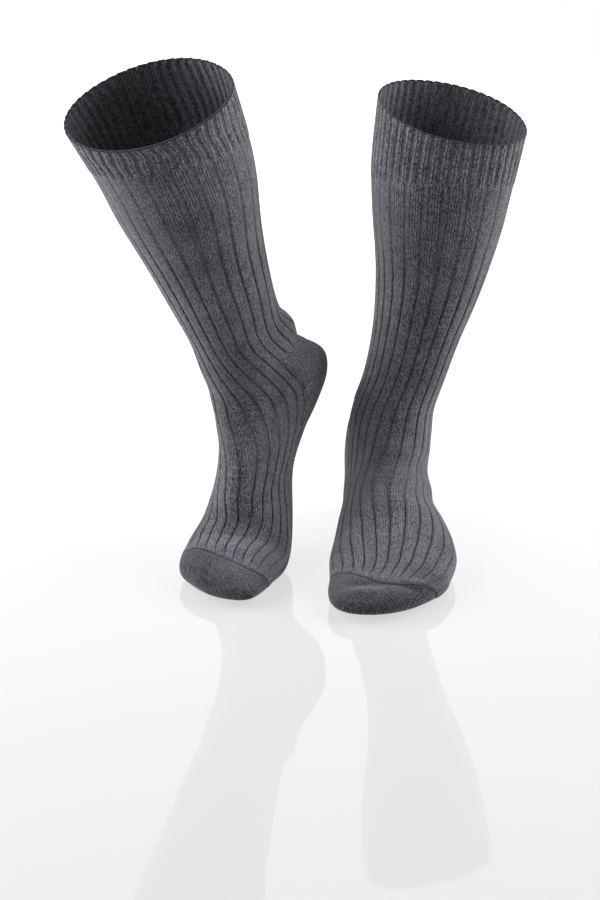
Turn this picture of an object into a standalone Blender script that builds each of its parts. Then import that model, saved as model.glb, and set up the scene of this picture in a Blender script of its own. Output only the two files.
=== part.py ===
"""A pair of long ribbed socks, hollow and open at the cuffs, in the shape that they take when worn.

Each sock is a loft through the sections of SECTIONS, a row for each, drawn in the upright plane of a foot
that stands flat: f runs forward from the back of the heel, u up from the floor and l sideways, away from
the other sock. Between the heel and the ankle the sections fan out, so that they turn the corner from the
leg into the foot. The row for the sock in POSES then raises the heel about the ball of the foot, bends the
ankle, leans the leg and turns the sock on the floor. Sizes are millimetres and degrees up to the meshes,
which are metres. The origin is the centre of the left sock's rim, where the leg in it would hold it up.
"""

from collections import namedtuple
from functools import cache
from math import cos, exp, hypot, pi, radians, sin, tan

import bmesh
import bpy
import numpy as np
from mathutils import Matrix, Vector

MM = 0.001
COLLECTION = "pair_of_socks"

# The knit. The sections draw the bottom of the grooves outside: ribs stand out of it, and the inside is plain.
WALL = 1.6
RIB_HEIGHT = 0.7
CUFF_RIB_HEIGHT = 0.6
SEAM_GAP = 0.3
RIBS = 24

# How far the fan of faces that closes the toe's tip stands out of the last row, outside and inside.
TIP_REACH = 0.4
INNER_TIP_REACH = -0.3

# Where rows and columns of points cross at a slant, a seam's gap is measured square to it: the least sine.
LEAST_CROSSING = 0.2

# Outer points for each of the RIBS columns: a groove and a flat rib, two narrow cuff ribs, or a plain cap.
LEG_POINTS = 3
CUFF_POINTS = 4
TOE_POINTS = 2

# The foot that shapes the sock, in f and u: its ankle and the ball that it rises on.
ANKLE = (53, 67)
BALL = (181, 11)
LEG_START_U = 117
GIRTH_FULL_U = 265
SOLE_PRESS = 1.2

Section = namedtuple(
    "Section", "name steps front_f front_u back_f back_u half_width shift egg square shank toes"
)
SECTIONS = (
    Section("rim", 2, 100, 309, -12, 309, 56.5, 0, 0, 2.1, 1, 0),
    Section("cuff_base", 2, 99, 265, -15, 265, 55.5, 5, 0, 2.1, 1, 0),
    Section("calf", 2, 98, 232, -9, 232, 52, 7, 0, 2.1, 1, 0),
    Section("low_calf", 2, 96, 189, 5, 189, 43.5, 7, 0, 2.1, 1, 0),
    Section("shin", 2, 93, 149, 18, 149, 36, 4, 0, 2.1, 1, 0),
    Section("above_ankle", 2, 90, 117, 23, 111, 31.5, 1, 0, 2.1, 1, 0),
    Section("ankle", 2, 92, 97, 20, 85, 32, 0, 0.1, 2.1, 0.8, 0),
    Section("ankle_bones", 2, 96, 82, 11, 58, 34, 0, 0.15, 2.1, 0.6, 0),
    Section("heel_back", 2, 108, 72, -1, 35, 34.5, 0, 0.25, 2.1, 0.38, 0),
    Section("heel_turn", 2, 118, 65, 3, 11, 33.5, 0, 0.3, 2.2, 0.18, 0),
    Section("heel_base", 1, 130, 60, 20, -1, 33.5, 0, 0.3, 2.3, 0.05, 0),
    Section("rear_arch", 2, 145, 55, 51, -1, 33, 1, 0.3, 2.3, 0, 0),
    Section("mid_arch", 2, 160, 50, 92, 1, 36, 2, 0.3, 2.3, 0, 0),
    Section("front_arch", 1, 174, 44, 132, 1, 40.5, 2.5, 0.3, 2.3, 0, 0.1),
    Section("ball", 1, 189, 38, 168, 0, 43.5, 1, 0.3, 2.4, 0, 0.5),
    Section("toe_root", 1, 203, 33, 194, 0, 44, 0, 0.3, 2.4, 0, 0.9),
    Section("rib_end", 1, 214, 29, 212, 0, 43, -1, 0.25, 2.4, 0, 1),
    Section("toe_seam", 1, 225, 25, 225, 1, 40, -3.5, 0.2, 2.4, 0, 1),
    Section("toe_cap", 1, 237, 21, 238, 2, 33.5, -8, 0.1, 2.4, 0, 1),
    Section("toe_front", 1, 247, 17.5, 248, 4, 24.5, -14, 0, 2.3, 0, 1),
    Section("toe_tip", 1, 253, 14.5, 253, 6, 14, -19, 0, 2.1, 0, 1),
    Section("toe_end", 0, 255, 12.5, 255, 8, 7.5, -21, 0, 2, 0, 1),
)

# side is 1 where "away from the other sock" is +X. heel_x and heel_y are the heel's place on the floor.
Pose = namedtuple(
    "Pose",
    "name side heel_x heel_y turn_out heel_raise ankle_back lean_out shank_turn"
    " rim_pitch rim_roll leg_stretch girth spread",
)
POSES = (
    Pose("left", 1, 75, 76, -3, 4, 4, 10, 17, -18, 3, 1.04, 0.99, 1.03),
    Pose("right", -1, 6, 96, 16, 42, 8, 10, 38, 7, 1, 0.95, 0.96, 0.9),
)

# How a section of one sock differs: wider, moved outwards, and its front and back drawn apart.
Trim = namedtuple("Trim", "sock section width shift front back")
TRIMS = (
    Trim("left", "cuff_base", -2, -3, 0, 0),
    Trim("left", "calf", -3, -3, 0, 0),
    Trim("left", "low_calf", -4, -2, 0, 0),
    Trim("left", "shin", -4, -2, 0, 0),
    Trim("left", "above_ankle", -2, -2, 0, 0),
    Trim("left", "ankle", -2, -2, 0, 0),
    Trim("left", "ankle_bones", -2, -1, 0, 0),
    Trim("left", "heel_back", -2, -1, 0, 0),
    Trim("left", "heel_turn", -1, -2, 0, 0),
    Trim("left", "heel_base", 0, -2, 0, 0),
    Trim("left", "rear_arch", 1, -3, 0, 0),
    Trim("left", "mid_arch", 2, -2, 0, 0),
    Trim("left", "front_arch", 1, -1, 0, 0),
    Trim("left", "toe_root", -3, -1, 0, 0),
    Trim("left", "rib_end", -4, -2, 0, 0),
    Trim("left", "toe_seam", -5, -4, 0, 0),
    Trim("left", "toe_cap", -4, -4, 0, 0),
    Trim("left", "toe_front", -2, -2, 0, 0),
    Trim("right", "cuff_base", 0, 0, -3, -5),
    Trim("right", "calf", 0, 0, -3, -4),
    Trim("right", "low_calf", 0, 0, -4, -2),
    Trim("right", "shin", 3, 0, -2, 0),
    Trim("right", "above_ankle", 1, 1, 1, 0),
    Trim("right", "ankle", 0, 2, 3, 0),
    Trim("right", "ankle_bones", -1, 1, 3, 0),
    Trim("right", "heel_back", -2, 0, 2, 0),
    Trim("right", "heel_turn", 0, 1, 1, 0),
    Trim("right", "heel_base", 1, 1, 1, 0),
    Trim("right", "rear_arch", -2, 1, 0, 0),
    Trim("right", "mid_arch", -6, 0, -2, 0),
    Trim("right", "front_arch", -5, -2, -4, 0),
    Trim("right", "ball", -2, 0, 0, 0),
    Trim("right", "toe_root", -2, 0, 0, 0),
    Trim("right", "rib_end", -3, 0, 0, 0),
    Trim("right", "toe_seam", -3, 0, 0, 0),
    Trim("right", "toe_cap", -4, -1, 0, 0),
    Trim("right", "toe_front", -2, 0, 0, 0),
)

# Bumps and dents of the cloth: height at the middle, reach in sections and spread round the sock.
Fold = namedtuple("Fold", "sock section share angle height reach spread")
FOLDS = (
    Fold("right", "above_ankle", 0.6, 190, 3.5, 0.35, 55),
    Fold("right", "ankle", 0.5, 180, -1.5, 0.4, 60),
    Fold("right", "toe_cap", 0.2, 10, -1.2, 0.8, 28),
    Fold("left", "ankle_bones", 0.5, 80, -1.6, 0.6, 16),
    Fold("left", "ankle_bones", 0.5, -85, -1.2, 0.6, 16),
    Fold("left", "above_ankle", 0.8, 180, 1.6, 0.5, 50),
    Fold("left", "toe_cap", 0.3, -15, -1.2, 0.8, 26),
)

# How far the lower end of the cuff and the toe seam are pulled along the sock, in sections: all round, towards
# the outer side and towards the front. The pull fades out over the sections on either side.
Pull = namedtuple("Pull", "sock section before after all_round outer front")
PULLS = (
    Pull("left", "cuff_base", 1, 2.2, 0.2, -0.1, -0.4),
    Pull("right", "cuff_base", 1, 2.2, 0.0, 0.3, -0.3),
    Pull("left", "toe_seam", 5, 4, -0.65, 0.6, 1.4),
    Pull("right", "toe_seam", 5, 4, -0.65, -1.0, 0.8),
)

# The instep's ribs keep close together where the heel's pocket takes up the rest of the way round: the most
# that the instep's half is drawn in, the place where it is and how many sections the gathering reaches.
GATHER = 0.26
GATHER_PLACE = 9.4
GATHER_REACH = 2.2

# Each piece covers bands of sections, and in a band the columns counted round from the front of the leg.
Band = namedtuple("Band", "start end first_column last_column")
Piece = namedtuple("Piece", "name points bands")
SIDE = RIBS // 4
PIECES = (
    Piece("cuff", CUFF_POINTS, (Band("rim", "cuff_base", 0, RIBS),)),
    Piece("leg", LEG_POINTS, (Band("cuff_base", "ankle", 0, RIBS),)),
    Piece("heel", LEG_POINTS, (Band("ankle", "rear_arch", SIDE, RIBS - SIDE),)),
    Piece(
        "foot",
        LEG_POINTS,
        (Band("ankle", "rear_arch", -SIDE, SIDE), Band("rear_arch", "toe_seam", 0, RIBS)),
    ),
    Piece("toe", TOE_POINTS, (Band("toe_seam", "toe_end", 0, RIBS),)),
)

# Knit colour in linear light, for each piece: the plain heel and toe look a little darker.
KNIT_COLOURS = {
    "cuff": (0.125, 0.125, 0.145),
    "leg": (0.115, 0.115, 0.135),
    "heel": (0.085, 0.085, 0.1),
    "foot": (0.11, 0.11, 0.13),
    "toe": (0.09, 0.09, 0.105),
}
KNIT_ROUGHNESS = 0.95


def clear_scene():
    """Removes what the scene holds."""
    for thing in list(bpy.data.objects):
        bpy.data.objects.remove(thing)


def section_starts():
    """The row of the lofted grid where each named section stands."""
    starts = {}
    row = 0
    for section in SECTIONS:
        starts[section.name] = row
        row += section.steps
    return starts


def trimmed(section, pose, sizes):
    """Changes the sizes of a section as this sock's own shape asks."""
    for trim in TRIMS:
        if (trim.sock, trim.section) != (pose.name, section.name):
            continue
        forward = sizes[0] - sizes[2]
        up = sizes[1] - sizes[3]
        depth = hypot(forward, up)
        sizes[0] += trim.front * forward / depth
        sizes[1] += trim.front * up / depth
        sizes[2] -= trim.back * forward / depth
        sizes[3] -= trim.back * up / depth
        sizes[4] += trim.width
        sizes[5] += trim.shift
    return sizes


def fitted(section, pose):
    """The section's sizes as a list, with the leg's length and girth and the foot's width of this sock."""
    sizes = list(section[2:])
    if section.shank < 1:
        if section.shank < 0.1:
            sizes[4] *= pose.spread
        return trimmed(section, pose, sizes)
    middle_f = (section.front_f + section.back_f) / 2
    height = (section.front_u + section.back_u) / 2
    share = min(1, max(0, (height - LEG_START_U) / (GIRTH_FULL_U - LEG_START_U)))
    girth = 1 + (pose.girth - 1) * share
    sizes[0] = middle_f + (section.front_f - middle_f) * girth
    sizes[2] = middle_f + (section.back_f - middle_f) * girth
    sizes[4] *= girth
    for place in (1, 3):
        if sizes[place] > LEG_START_U:
            sizes[place] = LEG_START_U + (sizes[place] - LEG_START_U) * pose.leg_stretch
    return trimmed(section, pose, sizes)


def row_places():
    """The place of every row along the sections, in the steps that each section states."""
    places = []
    for index, section in enumerate(SECTIONS[:-1]):
        for step in range(section.steps):
            places.append(index + step / section.steps)
    return places + [len(SECTIONS) - 1]


def sizes_at(sizes, place):
    """The section's sizes at any place, on a smooth curve through the sections."""
    last = len(sizes) - 1
    index = min(int(place), last - 1)
    t = place - index
    before = sizes[max(index - 1, 0)]
    here = sizes[index]
    after = sizes[index + 1]
    beyond = sizes[min(index + 2, last)]
    slope = (after - before) * t
    bend = (2 * before - 5 * here + 4 * after - beyond) * t**2
    twist = (3 * here - before - 3 * after + beyond) * t**3
    return (2 * here + slope + bend + twist) / 2


def soft_ramp(value, low, high):
    """A soft ramp from 0 at low to 1 at high."""
    share = min(1, max(0, (value - low) / (high - low)))
    return share * share * (3 - 2 * share)


def pulled(pose, place, turn):
    """Where along the sections the cloth of a row lies, at a turn round from the front."""
    names = [section.name for section in SECTIONS]
    shift = 0.0
    for pull in PULLS:
        if pull.sock != pose.name:
            continue
        seam = names.index(pull.section)
        weight = soft_ramp(place, seam - pull.before, seam) * soft_ramp(place, seam + pull.after, seam)
        shift += weight * (pull.all_round + pull.outer * sin(radians(turn)) + pull.front * cos(radians(turn)))
    return place + shift


def gathered(place, turn):
    """Where a turn from 0 to 360 lies round the sock, with the instep's half drawn in beside the heel."""
    half = 90 * (1 - GATHER * exp(-(((place - GATHER_PLACE) / GATHER_REACH) ** 2)))
    away = min(turn, 360 - turn)
    drawn = away * half / 90 if away <= 90 else half + (away - 90) * (180 - half) / 90
    return drawn if turn <= 180 else 360 - drawn


def fold_height(pose, place, angle):
    """How far the folds lift the cloth at a place along the sections and an angle round them."""
    names = [section.name for section in SECTIONS]
    lift = 0.0
    for fold in FOLDS:
        if fold.sock != pose.name:
            continue
        along = (place - names.index(fold.section) - fold.share) / fold.reach
        turn = (angle - fold.angle + 180) % 360 - 180
        lift += fold.height * exp(-(along**2) - (turn / fold.spread) ** 2)
    return lift


def rounded(value, power):
    """A cosine or sine pulled out towards the corners of a superellipse."""
    return np.sign(value) * abs(value) ** (2 / power)


def even_angle(row, turn):
    """The angle that spreads the cloth evenly over each quarter of the section, for a turn from 0 to 360."""
    front_f, front_u, back_f, back_u, half_width, _, egg, square = row[:8]
    degrees = np.arange(181.0)
    across = rounded(np.sin(np.radians(degrees)).clip(0), square)
    along = rounded(np.cos(np.radians(degrees)), square) - egg * across**2
    length = hypot(front_f - back_f, front_u - back_u) / 2
    way = np.concatenate(((0,), np.cumsum(np.hypot(np.diff(across) * half_width, np.diff(along) * length))))
    side = way[90]
    share = np.where(degrees <= 90, way / side * 90, 90 + (way - side) / (way[-1] - side) * 90)
    angle = float(np.interp(min(turn, 360 - turn), share, degrees))
    return angle if turn <= 180 else 360 - angle


def section_point(pose, row, place, angle):
    """One point of a section as (f, l, u), at an angle from the front round by the outer side."""
    front_f, front_u, back_f, back_u, half_width, shift, egg, square = row[:8]
    middle = Vector(((front_f + back_f) / 2, 0, (front_u + back_u) / 2))
    forward = Vector(((front_f - back_f) / 2, 0, (front_u - back_u) / 2))
    across = rounded(sin(radians(angle)), square)
    along = rounded(cos(radians(angle)), square) - egg * across**2
    size = 1 + fold_height(pose, place, angle) / max(half_width, 1)
    return middle + forward * along * size + Vector((0, shift + half_width * across * size, 0))


def tilt_rim(pose, point, row, height_share):
    """Tips a point of the upper sections out of square, more towards the rim."""
    middle_f = (row[0] + row[2]) / 2
    pitch = tan(radians(pose.rim_pitch)) * height_share**2
    roll = tan(radians(pose.rim_roll)) * height_share**2
    point.z += pitch * (point.x - middle_f) + roll * (point.y - row[5])


def bend(pose, point, row):
    """Turns a point with the leg about the ankle, then with the raised heel about the ball."""
    shank, toes = row[8:10]
    ankle = Vector((ANKLE[0], 0, ANKLE[1]))
    ball = Vector((BALL[0], 0, BALL[1]))
    back = Matrix.Rotation(-radians(pose.ankle_back) * shank, 3, "Y")
    lean = Matrix.Rotation(-radians(pose.lean_out) * shank, 3, "X")
    turn = Matrix.Rotation(radians(pose.shank_turn) * shank, 3, "Z")
    leg = back @ lean @ turn
    rise = Matrix.Rotation(radians(pose.heel_raise) * (1 - toes), 3, "Y")
    return rise @ (leg @ (point - ankle) + ankle - ball) + ball


def form_point(pose, sizes, place, turn):
    """A point of the sock's groove face in millimetres: +X to the side, -Y forward, +Z up."""
    own_place = pulled(pose, place, turn)
    row = sizes_at(sizes, own_place)
    top = (sizes[0][1] + sizes[0][3]) / 2
    height = (row[1] + row[3]) / 2
    share = min(1, max(0, (height - LEG_START_U) / (top - LEG_START_U)))
    point = section_point(pose, row, own_place, even_angle(row, gathered(own_place, turn)))
    tilt_rim(pose, point, row, share)
    point = bend(pose, point, row)
    return pose.side * point.y, -point.x, point.z


@cache
def sock_grid(pose, points):
    """The sock's groove face as rows of points, as many to a row as stated."""
    sizes = [np.array(fitted(section, pose)) for section in SECTIONS]
    turns = [360 * index / points for index in range(points)]
    return np.array([[form_point(pose, sizes, place, turn) for turn in turns] for place in row_places()])


def outward_normals(grid, side):
    """Unit normals of the grid's points, facing out of the sock."""
    along = np.gradient(grid, axis=0)
    around = np.roll(grid, -1, axis=1) - np.roll(grid, 1, axis=1)
    normals = np.cross(along, around) * side
    return normals / np.linalg.norm(normals, axis=2, keepdims=True)


def rib_height(piece, row, column, starts):
    """How far the outer point stands out of the wall: ribs on the cuff, all round the leg and on the instep."""
    if piece.name == "cuff":
        return CUFF_RIB_HEIGHT if column % 2 else 0.0
    on_groove = column % LEG_POINTS == 0
    if piece.name not in ("leg", "foot") or on_groove or row > starts["rib_end"]:
        return 0.0
    behind = SIDE * LEG_POINTS < column < (RIBS - SIDE) * LEG_POINTS
    if behind and row > starts["ankle"]:
        return 0.0
    return RIB_HEIGHT * (0.4 if row == starts["rib_end"] else 1)


def floor_drop(pose):
    """How far the sock comes down for its sole to rest on the floor and give way a little."""
    return sock_grid(pose, RIBS * LEG_POINTS)[..., 2].min() + SOLE_PRESS


def wall_points(pose, piece, starts):
    """The piece's whole inner and outer grids, standing on the floor, with the sole pressed flat."""
    outer = sock_grid(pose, RIBS * piece.points) - (0, 0, floor_drop(pose))
    normals = outward_normals(outer, pose.side)
    inner = outer - normals * WALL
    for row in range(outer.shape[0]):
        for column in range(outer.shape[1]):
            outer[row, column] += normals[row, column] * rib_height(piece, row, column, starts)
    outer[..., 2] = np.maximum(outer[..., 2], 0)
    inner[..., 2] = np.maximum(inner[..., 2], WALL)
    return inner, outer


def piece_cells(piece, starts):
    """The grid cells that the piece covers, as (row, column) with the column counted within RIBS."""
    cells = set()
    for band in piece.bands:
        for row in range(starts[band.start], starts[band.end]):
            for column in range(band.first_column, band.last_column):
                cells.add((row, column % RIBS))
    return cells


def unit(vector):
    """The vector at length one."""
    return vector / np.linalg.norm(vector)


class WallBuilder:
    """Builds one piece's closed wall from its cells: outer faces, inner faces and the edges between them."""

    def __init__(self, cells, inner, outer, points):
        self.cells = cells
        self.inner = inner
        self.outer = outer
        self.points = points
        self.columns = RIBS * points
        self.last_row = inner.shape[0] - 1
        self.mesh = bmesh.new()
        self.made = {}

    def inset(self, grid, row, column):
        """The grid's point, moved half a seam's gap into the piece where it lies on the piece's edge."""
        right = column // self.points % RIBS
        left = (column - 1) // self.points % RIBS
        below = ((row, left) in self.cells) + ((row, right) in self.cells)
        above = ((row - 1, left) in self.cells) + ((row - 1, right) in self.cells)
        to_right = ((row, right) in self.cells) + ((row - 1, right) in self.cells)
        to_left = ((row, left) in self.cells) + ((row - 1, left) in self.cells)
        down = unit(grid[min(row + 1, self.last_row), column] - grid[max(row - 1, 0), column])
        across = unit(grid[row, (column + 1) % self.columns] - grid[row, column - 1])
        reach = SEAM_GAP / 2 / max(np.linalg.norm(np.cross(down, across)), LEAST_CROSSING)
        way = down * np.sign(below - above) + across * np.sign(to_right - to_left)
        return grid[row, column] + way * reach

    def vertex(self, face, row, column):
        """The mesh vertex of a grid point, made once."""
        column %= self.columns
        key = (face, row, column)
        if key not in self.made:
            grid = self.outer if face == "outer" else self.inner
            self.made[key] = self.mesh.verts.new(self.inset(grid, row, column) * MM)
        return self.made[key]

    def add_cell(self, row, column):
        """The outer strips and the one inner face of a cell, and a wall where the piece ends."""
        first = column * self.points
        last = first + self.points
        for fine in range(first, last):
            self.face(("outer", row, fine), ("outer", row, fine + 1), ("outer", row + 1, fine + 1),
                      ("outer", row + 1, fine))
        self.face(("inner", row + 1, first), ("inner", row + 1, last), ("inner", row, last),
                  ("inner", row, first))
        if (row - 1, column) not in self.cells:
            outer = [("outer", row, fine) for fine in range(last, first - 1, -1)]
            self.face(*outer, ("inner", row, first), ("inner", row, last))
        if (row + 1, column) not in self.cells and row + 1 < self.last_row:
            outer = [("outer", row + 1, fine) for fine in range(first, last + 1)]
            self.face(*outer, ("inner", row + 1, last), ("inner", row + 1, first))
        if (row, (column - 1) % RIBS) not in self.cells:
            self.face(("outer", row, first), ("outer", row + 1, first), ("inner", row + 1, first),
                      ("inner", row, first))
        if (row, (column + 1) % RIBS) not in self.cells:
            self.face(("outer", row + 1, last), ("outer", row, last), ("inner", row, last),
                      ("inner", row + 1, last))

    def face(self, *corners):
        """One face through the named grid points."""
        self.mesh.faces.new([self.vertex(*corner) for corner in corners])

    def close_tip(self):
        """Fans over the hole that the last row leaves at the tip of the toe, outside and inside."""
        row = self.last_row
        ends = (("outer", self.outer, 1, TIP_REACH), ("inner", self.inner, self.points, INNER_TIP_REACH))
        for face, grid, step, reach in ends:
            middle = grid[row].mean(axis=0)
            ahead = middle - grid[row - 1].mean(axis=0)
            tip = self.mesh.verts.new((middle + ahead / np.linalg.norm(ahead) * reach) * MM)
            for column in range(0, self.columns, step):
                here = self.vertex(face, row, column)
                after = self.vertex(face, row, column + step)
                self.mesh.faces.new((here, after, tip) if face == "outer" else (after, here, tip))

    def build(self, name):
        """The finished mesh."""
        for row, column in sorted(self.cells):
            self.add_cell(row, column)
        if any(row + 1 == self.last_row for row, _ in self.cells):
            self.close_tip()
        bmesh.ops.recalc_face_normals(self.mesh, faces=self.mesh.faces)
        bmesh.ops.triangulate(self.mesh, faces=self.mesh.faces)
        mesh = bpy.data.meshes.new(name)
        self.mesh.to_mesh(mesh)
        self.mesh.free()
        return mesh


def knit_material(piece_name, node):
    """The piece's own charcoal knit."""
    material = bpy.data.materials.new(node + "_knit")
    material.use_nodes = True
    shader = material.node_tree.nodes["Principled BSDF"]
    shader.inputs["Base Color"].default_value = (*KNIT_COLOURS[piece_name], 1)
    shader.inputs["Roughness"].default_value = KNIT_ROUGHNESS
    shader.inputs["Metallic"].default_value = 0
    return material


def heel_place(pose):
    """Where the sock's heel stands on the floor, with the sock turned there."""
    turn = Matrix.Rotation(radians(pose.turn_out) * pose.side, 4, "Z")
    return Matrix.Translation(Vector((pose.heel_x, pose.heel_y, 0)) * MM) @ turn


def rim_centre(pose):
    """The middle of the sock's rim above the floor, in metres."""
    rim = sock_grid(pose, RIBS)[0]
    middle = rim.mean(axis=0) - (0, 0, floor_drop(pose))
    return heel_place(pose) @ Vector(middle * MM)


def build_sock(pose, origin, collection):
    """One sock: an empty at its heel, and each piece of cloth as an object on it."""
    starts = section_starts()
    anchor = bpy.data.objects.new(pose.name + "_sock", None)
    anchor.matrix_world = Matrix.Translation(-origin) @ heel_place(pose)
    collection.objects.link(anchor)
    for piece in PIECES:
        node = pose.name + "_" + piece.name
        inner, outer = wall_points(pose, piece, starts)
        builder = WallBuilder(piece_cells(piece, starts), inner, outer, piece.points)
        thing = bpy.data.objects.new(node, builder.build(node))
        thing.data.materials.append(knit_material(piece.name, node))
        thing.parent = anchor
        collection.objects.link(thing)


def main():
    clear_scene()
    collection = bpy.data.collections.new(COLLECTION)
    bpy.context.scene.collection.children.link(collection)
    origin = rim_centre(POSES[0])
    for pose in POSES:
        build_sock(pose, origin, collection)


if __name__ == "__main__":
    main()
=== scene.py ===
"""Looks of a pair of long ribbed socks, hollow and open at the cuffs, in the shape that they take when worn.

Every piece of knit is a sheet that lies on the form of its solid. It starts as a flat grid, whose columns
follow the wales and whose rows run across them, and is then laid round the form. Sizes are millimetres and
degrees up to the meshes, which are metres in the frame of the solids.
"""

import logging
from dataclasses import dataclass
from enum import Enum
from math import hypot, radians, tan, tau

import bmesh
import bpy
import numpy as np
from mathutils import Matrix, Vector


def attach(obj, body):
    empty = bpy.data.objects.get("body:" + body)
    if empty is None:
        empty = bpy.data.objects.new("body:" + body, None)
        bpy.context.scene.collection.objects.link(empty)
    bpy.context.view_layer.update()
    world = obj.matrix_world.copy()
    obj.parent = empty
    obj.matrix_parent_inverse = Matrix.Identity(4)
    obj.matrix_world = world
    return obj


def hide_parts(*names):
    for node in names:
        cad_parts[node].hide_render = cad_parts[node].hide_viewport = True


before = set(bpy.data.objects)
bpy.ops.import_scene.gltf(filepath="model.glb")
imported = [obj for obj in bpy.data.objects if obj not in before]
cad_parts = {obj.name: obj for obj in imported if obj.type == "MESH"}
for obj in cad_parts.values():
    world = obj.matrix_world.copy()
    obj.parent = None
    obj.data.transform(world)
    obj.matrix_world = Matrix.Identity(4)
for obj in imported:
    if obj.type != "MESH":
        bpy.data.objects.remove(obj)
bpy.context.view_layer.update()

Colour = tuple[float, float, float, float]
Spot = tuple[float, float, float]

MM = 0.001
BODY = "root"
LOG = logging.getLogger("socks")

# The knit and its cloth.
RIBS = 24
RIB_TURN = 360 / RIBS
WALES_PER_RIB = 8
WALES = RIBS * WALES_PER_RIB
COURSE = 1.25
WALL = 1.4
MERGE = 1e-6
FLOOR_CLEAR = 0.15

# The form, with the two points that it bends about, as forward, sideways and up in a foot that stands flat.
ANKLE = np.array((53.0, 0.0, 67.0))
BALL = np.array((181.0, 0.0, 11.0))
LEG_START_U = 117
GIRTH_FULL_U = 265
FOOT_SHANK = 0.1
SOLE_PRESS = 1.2

# The steps that its slopes, tables, lengths and lowest point are worked out in, in a section or in degrees.
SLOPE_STEP = 0.02
TURN_STEP = 0.5
TABLE_STEPS = 4
LENGTH_STEPS = 4
REACH_STEPS = 6
SETTLE_ROWS = 120
SETTLE_TURN = 5.0

# The mean height of the yarn in a stitch, from 0 to 1.
MIDDLE_STITCH = 0.35


class Side(Enum):
    """Which foot a sock is for, as the direction of +X away from the other sock."""

    LEFT = 1
    RIGHT = -1


@dataclass(frozen=True)
class Section:
    """A section of the foot or leg: front and back in the upright plane, then its width and shape.

    F is forward from the heel and U is up from the sole. Egg widens it behind, and square fills its corners.
    Shank is how far it turns with the leg, and toes is how far it stays down with the toes.
    """

    name: str
    front_f: float
    front_u: float
    back_f: float
    back_u: float
    half_width: float
    shift: float
    egg: float
    square: float
    shank: float
    toes: float


@dataclass(frozen=True)
class Pose:
    """How one sock stands: its heel on the floor, the bends of ankle and ball, and the tilt of its rim."""

    side: Side
    heel_x: float
    heel_y: float
    turn_out: float
    heel_raise: float
    ankle_back: float
    lean_out: float
    shank_turn: float
    rim_pitch: float
    rim_roll: float
    leg_stretch: float
    girth: float
    spread: float

    @property
    def name(self) -> str:
        """The word that the names of its pieces start with."""
        return self.side.name.lower()


@dataclass(frozen=True)
class Trim:
    """How one sock's section differs: wider, moved outwards, and its front and back drawn apart."""

    section: str
    width: float
    shift: float
    front: float = 0
    back: float = 0


@dataclass(frozen=True)
class Fold:
    """A soft bump or dent: its height at the middle, its reach in sections and its spread round the sock."""

    section: str
    share: float
    angle: float
    height: float
    reach: float
    spread: float


SECTIONS = (
    Section("rim", 100, 309, -12, 309, 56.5, 0, 0, 2.1, 1, 0),
    Section("cuff_base", 99, 265, -15, 265, 55.5, 5, 0, 2.1, 1, 0),
    Section("calf", 98, 232, -9, 232, 52, 7, 0, 2.1, 1, 0),
    Section("low_calf", 96, 189, 5, 189, 43.5, 7, 0, 2.1, 1, 0),
    Section("shin", 93, 149, 18, 149, 36, 4, 0, 2.1, 1, 0),
    Section("above_ankle", 90, 117, 23, 111, 31.5, 1, 0, 2.1, 1, 0),
    Section("ankle", 92, 97, 20, 85, 32, 0, 0.1, 2.1, 0.8, 0),
    Section("ankle_bones", 96, 82, 11, 58, 34, 0, 0.15, 2.1, 0.6, 0),
    Section("heel_back", 108, 72, -1, 35, 34.5, 0, 0.25, 2.1, 0.38, 0),
    Section("heel_turn", 118, 65, 3, 11, 33.5, 0, 0.3, 2.2, 0.18, 0),
    Section("heel_base", 130, 60, 20, -1, 33.5, 0, 0.3, 2.3, 0.05, 0),
    Section("rear_arch", 145, 55, 51, -1, 33, 1, 0.3, 2.3, 0, 0),
    Section("mid_arch", 160, 50, 92, 1, 36, 2, 0.3, 2.3, 0, 0),
    Section("front_arch", 174, 44, 132, 1, 40.5, 2.5, 0.3, 2.3, 0, 0.1),
    Section("ball", 189, 38, 168, 0, 43.5, 1, 0.3, 2.4, 0, 0.5),
    Section("toe_root", 203, 33, 194, 0, 44, 0, 0.3, 2.4, 0, 0.9),
    Section("rib_end", 214, 29, 212, 0, 43, -1, 0.25, 2.4, 0, 1),
    Section("toe_seam", 225, 25, 225, 1, 40, -3.5, 0.2, 2.4, 0, 1),
    Section("toe_cap", 237, 21, 238, 2, 33.5, -8, 0.1, 2.4, 0, 1),
    Section("toe_front", 247, 17.5, 248, 4, 24.5, -14, 0, 2.3, 0, 1),
    Section("toe_tip", 253, 14.5, 253, 6, 14, -19, 0, 2.1, 0, 1),
    Section("toe_end", 255, 12.5, 255, 8, 7.5, -21, 0, 2, 0, 1),
)
PLACE = {section.name: float(index) for index, section in enumerate(SECTIONS)}
LAST_PLACE = len(SECTIONS) - 1

# How the pair stands: the left sock flat on the floor, the right one on its toes.
POSES = (
    Pose(Side.LEFT, 75, 76, -3, 4, 4, 10, 17, -18, 3, 1.04, 0.99, 1.03),
    Pose(Side.RIGHT, 6, 96, 16, 42, 8, 10, 38, 7, 1, 0.95, 0.96, 0.9),
)

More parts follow.
